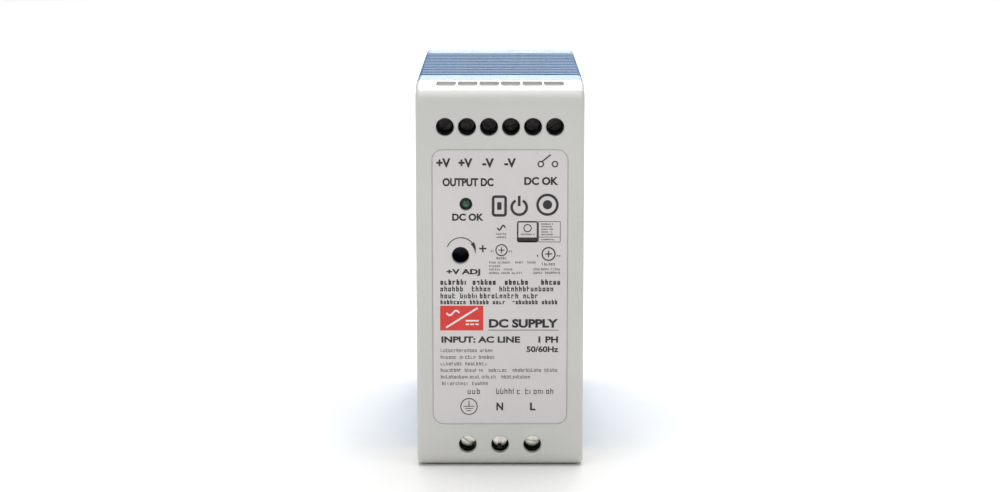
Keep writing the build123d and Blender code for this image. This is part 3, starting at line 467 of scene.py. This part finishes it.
def greeked(left: float, right: float, middle: float, height: float, seed: int, weight: float = 0.17) -> Quads:
    """Marks that read as small type but are no letters: stems and bars kept or dropped by seeded chance.

    Args:
        left: where the line starts.
        right: where it ends.
        middle: the height of its centre line.
        height: the height of a tall mark.
        seed: the line's own seed.
        weight: a stroke's width, as a share of the height.

    Returns:
        The strokes' quads.
    """
    chance = np.random.default_rng(seed)
    step = 0.72 * height
    count = max(int((right - left) / step), 1)
    x = left + (right - left) / count * np.arange(count)
    wide, stroke = 0.70 * step, weight * height
    # a gap between words after every four to ten marks or so
    kept = np.mod(np.cumsum(chance.random(count) * 2) + 1.0, 7.5) > 1.0
    low, lower = middle - height / 2, middle + 0.22 * height
    top = np.where(chance.random(count) < 0.45, middle + height / 2, lower)
    draw = chance.random((4, count))
    flat = np.full(count, low)
    strokes = (
        (draw[0] < 0.95, x, x + stroke, flat, top),
        (draw[1] < 0.75, x + wide - stroke, x + wide, flat, np.full(count, lower)),
        (draw[2] < 0.75, x, x + wide, np.full(count, lower) - stroke, np.full(count, lower)),
        (draw[3] < 0.6, x, x + wide, flat, flat + stroke),
    )
    rows = [np.stack([x0, x1, y0, y1], 1)[kept & drawn] for drawn, x0, x1, y0, y1 in strokes]
    return bars(*np.concatenate(rows))


@dataclass(frozen=True)
class Word:
    """Generic lettering fitted to a box, in mm, and how much bolder it is than the plain face."""

    text: str
    left: float
    right: float
    low: float
    high: float
    bolder: float = 0.012

    def faces(self) -> tuple[np.ndarray, list[list[int]]]:
        """The letters' flat faces, stretched to the box.

        Returns:
            The points, one row each, in mm, and the faces as lists of point numbers.
        """
        curve = bpy.data.curves.new("lettering", "FONT")
        curve.body, curve.resolution_u, curve.offset = self.text, 4, self.bolder
        holder = bpy.data.objects.new("lettering", curve)
        bpy.context.collection.objects.link(holder)
        bpy.context.view_layer.update()
        mesh = bpy.data.meshes.new_from_object(holder)
        points = np.zeros(len(mesh.vertices) * 3)
        mesh.vertices.foreach_get("co", points)
        points = points.reshape(-1, 3)[:, :2]
        faces = [list(p.vertices) for p in mesh.polygons]
        bpy.data.objects.remove(holder)
        bpy.data.curves.remove(curve)
        bpy.data.meshes.remove(mesh)
        least, most = points.min(0), points.max(0)
        size = np.array([self.right - self.left, self.high - self.low])
        return np.array([self.left, self.low]) + (points - least) / (most - least) * size, faces


class Facing(Enum):
    """The face a print lies on, which says how its flat drawing is turned into place."""

    FRONT = "read from the front, x to the right and z up"
    UNDER = "read from below with the front edge up, x to the right and y down"


@dataclass
class Print:
    """Ink on one face: flat shapes in mm, laid at a depth and given an ink film's thickness."""

    name: str
    facing: Facing
    depth: float
    finish: Finish
    slot: str
    quads: Quads = field(default_factory=lambda: np.zeros((0, 4, 2)))
    words: list[Word] = field(default_factory=list)
    film: float = 0.02

    def placed(self, flat: np.ndarray) -> np.ndarray:
        """Turns the flat drawing's points into the frame: across stays x, and up becomes z or minus y."""
        across, up = flat[:, 0], flat[:, 1]
        level = np.full(len(flat), self.depth)
        if self.facing is Facing.FRONT:
            return np.stack([across, level - MIDDLE_Y, up + UNDERSIDE_Z], 1) * MM
        return np.stack([across, -up - MIDDLE_Y, level + UNDERSIDE_Z], 1) * MM

    def build(self) -> bpy.types.Object:
        """Gathers the shapes into one mesh and thickens it outwards.

        Returns:
            The printed piece, riding on the housing.
        """
        quads = self.quads
        # a quad's signed area is half the cross product of its diagonals; a clockwise one is turned over
        first, second = quads[:, 2] - quads[:, 0], quads[:, 3] - quads[:, 1]
        clockwise = first[:, 0] * second[:, 1] - first[:, 1] * second[:, 0] < 0
        quads = np.where(clockwise[:, None, None], quads[:, ::-1], quads)
        points = [quads.reshape(-1, 2)]
        faces = np.arange(len(quads) * 4).reshape(-1, 4).tolist()
        base = len(quads) * 4
        for word in self.words:
            flat, polygons = word.faces()
            faces += [[base + i for i in polygon] for polygon in polygons]
            points.append(flat)
            base += len(flat)
        mesh = bpy.data.meshes.new(self.name)
        mesh.from_pydata(self.placed(np.concatenate(points)).tolist(), [], faces)
        piece = bpy.data.objects.new(self.name, mesh)
        bpy.context.collection.objects.link(piece)
        thick = piece.modifiers.new("film", "SOLIDIFY")
        thick.thickness, thick.offset = self.film * MM, 1.0
        self.finish.dress(piece)
        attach(piece, HOUSING)
        return piece


@dataclass
class SubAssembly:
    """A group of CAD nodes with their own finishes, and the pieces built for it."""

    title: str
    prefixes: tuple[str, ...]

    def dress(self) -> list[str]:
        """Gives each of the group's CAD nodes the finish of its record slot.

        Returns:
            The nodes' names.
        """
        done = []
        for part in frame["record"]["subparts"]:
            if part["node"].startswith(self.prefixes):
                FINISHES[part["material_slot"]].dress(frame["nodes"][part["node"]])
                done.append(part["node"])
        return done

    def build(self) -> list[bpy.types.Object]:
        """The group's own pieces; none unless a subclass makes some."""
        return []


@dataclass
class RatingLabel(SubAssembly):
    """The front label's print: terminal names, symbols, a plain red block and lines of small type, in mm."""

    title: str = "rating label"
    prefixes: tuple[str, ...] = ("rating_label",)
    slot: str = "label_film"
    face: float = 0.08  # behind the front face
    pitch: float = 5.08  # of the output terminals
    left: float = -13.9  # where most lines of type start
    right: float = 13.6  # where they end
    terminal_names: tuple[float, float] = (71.7, 73.85)
    contact: tuple[float, float] = (12.7, 72.5)  # the right ring of the open contact
    trimmer: tuple[float, float] = (-9.2, 51.0)
    arrow_radius: float = 3.35
    earth: tuple[float, float] = (-7.3, 14.9)
    power: tuple[float, float] = (4.45, 62.4)
    disc: tuple[float, float] = (11.0, 63.0)
    wave: tuple[float, float] = (0.3, 57.6)
    red_block: tuple[float, float, float, float] = (-14.0, -3.9, 33.2, 39.1)

    def open_contact(self) -> Quads:
        """Two rings, and a lever that leaves the left one."""
        x, z = self.contact
        rings = (arc((x - 3.28, z), 0.62, 0.3), arc((x, z), 0.62, 0.3))
        return joined(*rings, ribbon([(x - 2.95, z + 0.6), (x - 1.0, z + 2.2)], 0.32))

    def adjusting_arrow(self) -> Quads:
        """An arc over the trimmer that narrows to an arrow's point, and a plus sign beside it."""
        x, z = self.trimmer
        centre = (x + 0.1, z + 0.9)
        sweep = arc(centre, self.arrow_radius, 0.22, 160, 36, 24)
        head = arc(centre, self.arrow_radius, np.linspace(0.95, 0.03, 13), 38, -8, 12)
        return joined(sweep, head, bars((-4.85, -3.15, 52.5, 52.85), (-4.175, -3.825, 51.8, 53.5)))

    def earth_sign(self) -> Quads:
        """A stem over three bars, each shorter than the one above it, in a ring."""
        x, z = self.earth
        strokes = bars(
            (x - 0.11, x + 0.11, z + 0.1, z + 1.35),
            (x - 1.3, x + 1.3, z - 0.02, z + 0.14),
            (x - 0.95, x + 0.95, z - 0.56, z - 0.4),
            (x - 0.55, x + 0.55, z - 1.08, z - 0.92),
        )
        return joined(arc(self.earth, 1.92, 0.22, steps=56), strokes)

    def ringed_plus(self, x: float, z: float, radius: float, ring: float, arm: float, half: float) -> Quads:
        """A plus sign in a ring.

        Args:
            x: the centre, across.
            z: the centre's height.
            radius: the ring's radius.
            ring: the ring's width.
            arm: how far each arm reaches.
            half: half an arm's width.

        Returns:
            The sign's quads.
        """
        across = (x - arm, x + arm, z + 0.01 - half, z + 0.01 + half)
        return joined(arc((x, z), radius, ring), bars(across, (x - half, x + half, z - arm, z + arm)))

    def plain_marks(self) -> Quads:
        """A nested square, a power sign, a ring with a disc, a wave and two ringed plus signs."""
        nested = joined(frame_band(-1.6, 1.3, 60.5, 64.9, 0.5, 0.62), bars((-0.65, 0.35, 61.8, 63.6)))
        power = joined(arc(self.power, 1.75, 0.62, 118, 422, 36), bars((4.14, 4.76, 62.7, 65.1)))
        disc = joined(arc(self.disc, 2.3, 0.6, steps=56), arc(self.disc, 0.55, 1.08, steps=24))
        x, z = self.wave
        along = np.linspace(-0.9, 0.9, 19)
        # the wave's height is 0.55 mm times the sine of its place along one whole turn
        wave = ribbon(np.stack([along + x, z + 0.55 * np.sin(along * np.pi / 0.9)], 1), 0.34)
        left_plus = self.ringed_plus(0.35, 52.3, 1.3, 0.26, 0.7, 0.11)
        right_plus = self.ringed_plus(11.3, 51.4, 1.5, 0.3, 0.8, 0.13)
        return joined(nested, power, disc, wave, left_plus, right_plus)

    def boxed_mark(self) -> Quads:
        """A ring over a dark bar in a rounded box, beside a thin box for five lines of marks."""
        return joined(
            frame_band(4.1, 8.7, 54.3, 59.0, 0.35, 0.34),
            bars((4.2, 8.6, 54.2, 55.3)),
            arc((6.4, 57.5), 0.85, 0.24, steps=32),
            frame_band(8.95, 14.0, 54.25, 59.05, 0.1, 0.13),
            bars((8.95, 14.0, 55.35, 55.47)),
        )

    def captions(self) -> Quads:
        """Tiny lines of marks in and under the plain marks."""
        # left, right, middle height, a tall mark's height, seed, and a stroke's share of that height
        rows = [(9.6, 12.4 - 0.3 * (i % 2), 58.5 - 0.62 * i, 0.36, 20 + i, 0.2) for i in range(5)]
        rows += [
            (4.8, 8.1, 56.1, 0.42, 11, 0.2), (9.6, 12.8, 54.85, 0.36, 31, 0.2),
            (-0.9, 1.6, 56.2, 0.5, 32, 0.17), (-0.8, 1.5, 55.4, 0.5, 33, 0.17),
            (-2.1, -1.2, 52.1, 0.6, 34, 0.17), (2.0, 3.1, 52.1, 0.6, 35, 0.17),
            (8.6, 9.4, 51.0, 0.6, 36, 0.17), (13.2, 14.2, 51.0, 0.6, 37, 0.17),
            (-0.8, 1.6, 50.45, 0.62, 38, 0.17), (9.8, 12.9, 49.05, 0.68, 39, 0.17),
        ]
        return joined(*(greeked(*row) for row in rows))

    def small_type(self) -> Quads:
        """Lines of small type, drawn as marks that are no letters."""
        start = self.left
        # left, right, middle height and a tall mark's height
        rows = (
            (-2.5, 8.4, 49.45, 0.55), (-2.5, 0.6, 48.6, 0.55), (-2.5, 3.0, 47.8, 0.55),
            (-2.5, 5.2, 46.95, 0.55),
            (7.8, 14.1, 47.85, 0.62), (7.8, 14.1, 47.0, 0.62),
            (start, -1.6, 28.45, 0.85), (start, -1.1, 26.85, 0.85), (start, -3.0, 25.25, 0.85),
            (start, self.right, 23.7, 0.85), (start, 7.2, 22.1, 0.85), (-13.6, -2.0, 20.5, 0.85),
        )
        return joined(*(greeked(*row, 50 + i, 0.14) for i, row in enumerate(rows)))

    def large_type(self) -> Quads:
        """Bolder lines of marks, with the rule under the title."""
        start, end = self.left, self.right
        # left, right, middle height, a tall mark's height, and a stroke's share of it
        rows = (
            (start, 14.3, 44.75, 1.3, 0.23), (start, end, 43.15, 1.25, 0.19), (start, 9.1, 41.5, 1.25, 0.19),
            (start, end, 40.0, 1.05, 0.22), (-7.6, -2.2, 18.6, 1.35, 0.13), (-0.9, 13.8, 18.6, 1.35, 0.13),
        )
        lines = (greeked(*row[:4], 80 + i, row[4]) for i, row in enumerate(rows))
        return joined(*lines, bars((-2.8, end + 0.1, 33.22, 33.36)))

    def words(self) -> list[Word]:
        """The generic words and terminal names."""
        places = self.pitch * (np.arange(4) - 2.5)
        names = [Word("+V", x - 2.0, x + 1.25, *self.terminal_names, 0.045) for x in places[:2]]
        names += [Word("-V", x - 1.55, x + 1.15, *self.terminal_names, 0.045) for x in places[2:]]
        return names + [
            Word("OUTPUT DC", -13.3, -1.5, 67.3, 69.25, 0.042),
            Word("DC OK", 5.6, 13.5, 67.6, 69.5, 0.042),
            Word("DC OK", -11.1, -3.8, 59.2, 60.95, 0.042),
            Word("+V ADJ", -12.5, -4.6, 46.2, 47.85, 0.042),
            Word("DC SUPPLY", -2.6, 13.6, 33.85, 35.95, 0.045),
            Word("INPUT: AC LINE", -13.7, 4.7, 30.25, 31.8, 0.04),
            Word("1 PH", 9.0, 13.6, 30.25, 31.8, 0.04),
            Word("50/60Hz", 6.2, 13.7, 28.0, 29.45, 0.034),
            Word("N", -0.85, 0.75, 13.95, 15.85, 0.04),
            Word("L", 7.05, 8.35, 13.95, 15.85, 0.04),
        ]

    def converter_sign(self) -> Quads:
        """The general sign for an alternating to direct converter: a wave, a slash, and a bar over dashes."""
        turn = np.linspace(-1.0, 1.0, 25)
        # the wave's height is 0.55 mm times the sine of its place along one whole turn
        wave = np.stack([turn * 1.5 - 11.0, 37.4 + 0.55 * np.sin(turn * np.pi)], 1)
        dashes = ((-8.0, -7.25, 34.5, 34.87), (-6.9, -6.1, 34.5, 34.87), (-5.75, -5.0, 34.5, 34.87))
        slash = ribbon([(-12.6, 33.9), (-5.2, 38.6)], 0.42)
        return joined(slash, ribbon(wave, 0.4), bars((-8.0, -5.0, 35.35, 35.72), *dashes))

    def build(self) -> list[bpy.types.Object]:
        """Prints the label in four inks.

        Returns:
            The printed pieces.
        """
        black = joined(
            self.open_contact(), self.adjusting_arrow(), self.earth_sign(), self.plain_marks(),
            self.boxed_mark(), self.captions(), self.large_type(),
        )
        front, face, slot = Facing.FRONT, self.face, self.slot
        return [
            Print("label_print", front, face, INK, slot, black, self.words()).build(),
            Print("label_small_print", front, face, SMALL_INK, slot, self.small_type()).build(),
            Print("label_red_block", front, face, RED_INK, slot, bars(self.red_block), film=0.015).build(),
            Print("label_white_symbol", front, face, WHITE_INK, slot, self.converter_sign(), film=0.03).build(),
        ]


@dataclass
class SerialSticker(SubAssembly):
    """The sticker under the casing, in mm: upright bars of chance widths over a row of plain digits."""

    title: str = "serial sticker"
    prefixes: tuple[str, ...] = ("serial_label",)
    slot: str = "sticker_paper"
    face: float = -0.12  # below the casing's underside
    span: tuple[float, float] = (-14.4, 12.9)
    rows: tuple[float, float] = (-24.6, -21.3)
    module: float = 0.17  # the narrowest bar
    runs: int = 180  # bars and gaps drawn by chance, more than fit the span
    digits: tuple[float, float, float, float] = (-6.8, 4.2, -25.95, -25.05)

    def build(self) -> list[bpy.types.Object]:
        """Prints bars whose widths and gaps are one to three modules, picked by seeded chance.

        Returns:
            The printed piece.
        """
        chance = np.random.default_rng(7)
        runs = chance.choice((1, 1, 2, 3), self.runs) * self.module
        edges = self.span[0] + np.concatenate([[0.0], np.cumsum(runs)])
        edges = edges[edges < self.span[1]]
        edges = edges[: len(edges) // 2 * 2].reshape(-1, 2)
        heights = np.tile(self.rows, (len(edges), 1))
        coded = bars(*np.concatenate([edges, heights], 1))
        digits = [Word("0 1 2 3 4 5 6 7 8 9", *self.digits, 0.004)]
        return [Print("sticker_print", Facing.UNDER, self.face, STICKER_INK, self.slot, coded, digits).build()]


@dataclass(frozen=True)
class Softbox:
    """A square soft light: its name, where it hangs and its side in metres, and its power in watts."""

    name: str
    place: tuple[float, float, float]
    side: float
    power: float

    def hang(self, target: Vector) -> None:
        """Puts the light in the scene, facing a target and unseen by the camera.

        Args:
            target: the point that it faces, in metres.
        """
        lamp = bpy.data.lights.new(self.name, "AREA")
        lamp.shape, lamp.size, lamp.energy = "SQUARE", self.side, self.power
        holder = bpy.data.objects.new(self.name, lamp)
        bpy.context.collection.objects.link(holder)
        holder.location = self.place
        holder.visible_camera = False
        away = Vector(self.place) - target
        holder.rotation_euler = away.to_track_quat("Z", "Y").to_euler()


@dataclass
class Studio:
    """Floor, lights and camera: a pale bowl, four soft lights and a long lens in front."""

    flat_radius: float = 2.4  # metres
    rise_radius: float = 1.2  # metres
    innermost: float = 0.02  # metres, the floor's smallest ring
    flat_rings: int = 26
    rising_rings: int = 16
    columns: int = 96
    heel: float = 46.0  # mm along y where the clip's tab touches the floor
    toe: tuple[float, float] = (-29.5, 1.47)  # mm along y and z, just under the sticker's front edge
    air: float = 0.34  # the even light from all round
    lit: tuple[float, float, float] = (0.0, 0.0, 0.045)  # metres, the point that the lights face
    distance: float = 565.0  # mm from the frame's origin to the camera
    eye_height: float = 146.6  # mm
    aim: tuple[float, float, float] = (0.0, 0.0, 46.0)  # mm
    lens: float = 81.0  # mm
    sensor: float = 36.0  # mm
    lights: tuple[Softbox, ...] = (
        Softbox("softbox_above", (0.0, 0.25, 2.0), 2.0, 36.0),
        Softbox("softbox_behind", (0.1, 2.1, 1.2), 1.2, 24.0),
        Softbox("softbox_front_left", (-0.75, -0.95, 0.75), 0.8, 2.6),
        Softbox("softbox_front_right", (0.9, -0.8, 0.6), 0.7, 1.5),
    )

    def floor(self) -> bpy.types.Object:
        """A bowl on rings and columns: flat to one radius, then a quarter circle up.

        A point's height is its ring's rise plus the lean times how far it lies in front of the heel, so that
        the object rests on its two lowest lines.

        Returns:
            The floor.
        """
        bend = np.linspace(0, np.pi / 2, self.rising_rings + 1)[1:]
        flat = np.geomspace(self.innermost, self.flat_radius, self.flat_rings)
        radius = np.concatenate([flat, self.flat_radius + self.rise_radius * np.sin(bend)])
        rise = np.concatenate([np.zeros(self.flat_rings), self.rise_radius * (1 - np.cos(bend))])
        turn = np.linspace(0, 2 * np.pi, self.columns + 1)[:-1]
        x = radius[:, None] * np.cos(turn)
        y = radius[:, None] * np.sin(turn)
        heel = self.heel * MM
        lean = self.toe[1] / (self.heel - self.toe[0])
        z = rise[:, None] + (heel - y) * lean
        points = np.concatenate([[[0.0, 0.0, heel * lean]], np.stack([x, y, z], 2).reshape(-1, 3)])
        column = np.arange(self.columns)
        after = (column + 1) % self.columns
        inner = 1 + self.columns * np.arange(len(radius) - 1)[:, None]
        outer = inner + self.columns
        sides = np.stack([inner + column, outer + column, outer + after, inner + after], 2).reshape(-1, 4)
        fan = np.stack([np.zeros(self.columns, int), 1 + column, 1 + after], 1)
        mesh = bpy.data.meshes.new("studio_floor")
        mesh.from_pydata(points.tolist(), [], fan.tolist() + sides.tolist())
        mesh.polygons.foreach_set("use_smooth", np.ones(len(mesh.polygons), bool))
        floor = bpy.data.objects.new("studio_floor", mesh)
        bpy.context.collection.objects.link(floor)
        BACKDROP.dress(floor)
        return floor

    def camera(self) -> None:
        """A long lens that stands a little above the object's upper edge and looks slightly down."""
        lens = bpy.data.cameras.new("camera")
        lens.lens, lens.sensor_width = self.lens, self.sensor
        lens.clip_start, lens.clip_end = 0.01, 20.0
        holder = bpy.data.objects.new("camera", lens)
        bpy.context.collection.objects.link(holder)
        holder.location = (0.0, -self.distance * MM, self.eye_height * MM)
        look = Vector(self.aim) * MM - holder.location
        holder.rotation_euler = look.to_track_quat("-Z", "Y").to_euler()
        bpy.context.scene.camera = holder

    def build(self) -> None:
        """Sets up plain colours, the even light, the floor, the soft lights and the camera."""
        scene = bpy.context.scene
        scene.view_settings.view_transform = "Standard"
        world = bpy.data.worlds.new("studio_air")
        world.use_nodes = True
        air = world.node_tree.nodes["Background"]
        air.inputs["Color"].default_value = (1.0, 1.0, 1.0, 1.0)
        air.inputs["Strength"].default_value = self.air
        scene.world = world
        self.floor()
        for light in self.lights:
            light.hang(Vector(self.lit))
        self.camera()


def main() -> None:
    """Builds every sub-assembly in order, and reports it."""
    logging.basicConfig(level=logging.INFO, format="%(name)s: %(message)s")
    groups = (
        SubAssembly("enclosure", ("front_cover", "rear_casing", "insulation_sheet")),
        SubAssembly("rail clip", ("rail_clip", "clip_leg")),
        SubAssembly("terminals", (
            "output_terminal", "output_screw", "output_clamp", "output_contacts", "input_",
        )),
        SubAssembly("front controls", ("status_lamp", "lamp_spacer", "trimmer_", "front_board")),
        SubAssembly("mains side", (
            "fuse", "varistor", "inrush", "bridge", "line_", "bulk", "suppression", "switching", "primary",
        )),
        SubAssembly("transformer", ("transformer_",)),
        SubAssembly("output side", (
            "output_heatsink", "output_rectifier", "output_capacitors", "output_choke", "heatsink_screws",
            "alarm", "optocouplers",
        )),
        SubAssembly("main board", ("main_board", "solder_joints", "surface_parts")),
        RatingLabel(),
        SerialSticker(),
    )
    for group in groups:
        nodes, pieces = group.dress(), group.build()
        log.info("%s: %d nodes dressed, %d pieces built", group.title, len(nodes), len(pieces))
    Studio().build()
    bpy.context.view_layer.update()


if __name__ == "__main__":
    main()
